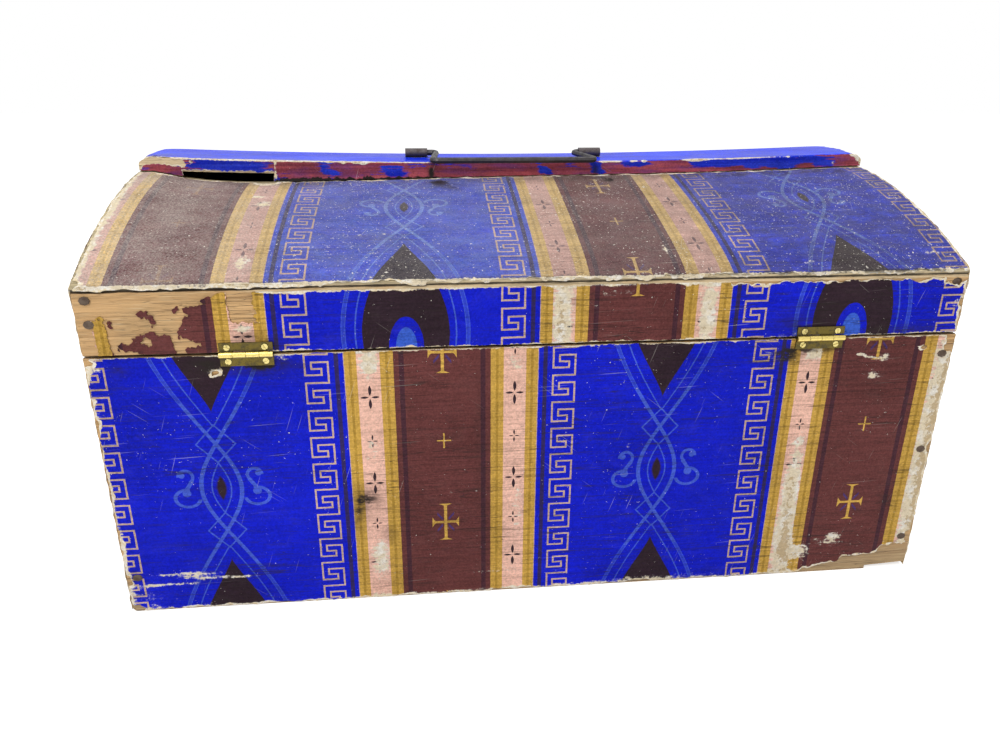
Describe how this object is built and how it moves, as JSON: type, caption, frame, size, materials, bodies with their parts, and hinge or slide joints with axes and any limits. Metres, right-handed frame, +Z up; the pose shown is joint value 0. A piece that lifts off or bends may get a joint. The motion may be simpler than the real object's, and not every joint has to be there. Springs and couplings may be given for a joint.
{
  "type": "dome-top dowry box",
  "caption": "Papered pine box with a hinged dome lid of bent panels under a flat ridge board, brass butt hinges at the back and a wire bail handle on top.",
  "frame": {"origin": "middle of the underside, on the surface the box stands on", "axes": "+X along the length, +Y from the hinged back to the front, +Z up"},
  "size_m": [0.6112, 0.4103, 0.3149],
  "materials": {
    "pine": "bare worn pine",
    "panel_board": "thin bent board, bare at its edges",
    "printed_paper": "printed wallpaper with a slight sheen, torn at the edges",
    "faded_paper": "faded and dusty printed wallpaper",
    "ridge_paper": "glossy plain blue paper, worn white at the edges",
    "brass": "dull brass",
    "iron": "dark rusted iron"
  },
  "bodies": {
    "box": {"body_back_board": "pine", "body_front_board": "pine", "body_left_end": "pine", "body_right_end": "pine", "body_bottom_board": "pine", "body_back_paper": "printed_paper", "body_front_paper": "printed_paper", "body_left_paper": "printed_paper", "body_right_paper": "printed_paper", "hinge_left_body_leaf": "brass", "hinge_right_body_leaf": "brass", "hinge_left_pin": "brass", "hinge_right_pin": "brass", "screw_left_body_1": "brass", "screw_left_body_2": "brass", "screw_right_body_1": "brass", "screw_right_body_2": "brass", "nail_back_left_low": "iron", "nail_back_left_middle": "iron", "nail_back_left_high": "iron", "nail_back_right_low": "iron", "nail_back_right_middle": "iron", "nail_back_right_high": "iron", "nail_front_left_low": "iron", "nail_front_left_high": "iron", "nail_front_right_low": "iron", "nail_front_right_high": "iron", "closure_pivot_nail": "iron"},
    "lid": {"lid_back_rail": "pine", "lid_front_rail": "pine", "lid_left_end": "pine", "lid_right_end": "pine", "dome_rear_panel": "panel_board", "dome_front_panel": "panel_board", "ridge_board": "pine", "lid_back_paper": "printed_paper", "lid_front_paper": "printed_paper", "lid_left_paper": "printed_paper", "lid_right_paper": "printed_paper", "dome_rear_paper": "faded_paper", "dome_front_paper": "faded_paper", "ridge_paper": "ridge_paper", "handle_loop_left": "iron", "handle_loop_right": "iron", "hinge_left_lid_leaf": "brass", "hinge_right_lid_leaf": "brass", "screw_left_lid_1": "brass", "screw_left_lid_2": "brass", "screw_right_lid_1": "brass", "screw_right_lid_2": "brass", "nail_rail_left_low": "iron", "nail_rail_left_high": "iron", "nail_rail_right_low": "iron", "nail_rail_right_high": "iron", "nail_front_rail_left": "iron", "nail_front_rail_right": "iron", "closure_catch_nail": "iron"},
    "handle": {"handle_bail": "iron"},
    "hook": {"closure_hook": "iron"}
  },
  "joints": [
    {"name": "lid_hinge", "type": "hinge", "parent": "box", "child": "lid", "pos_m": [0, -0.203, 0.2024], "axis": [1, 0, 0], "range_deg": [0, 175]},
    {"name": "handle_swing", "type": "hinge", "parent": "lid", "child": "handle", "pos_m": [0, 0, 0.31122], "axis": [-1, 0, 0], "range_deg": [0, 180]},
    {"name": "hook_swing", "type": "hinge", "parent": "box", "child": "hook", "pos_m": [0, 0.2023, 0.1798], "axis": [0, -1, 0], "range_deg": [0, 180]}
  ]
}
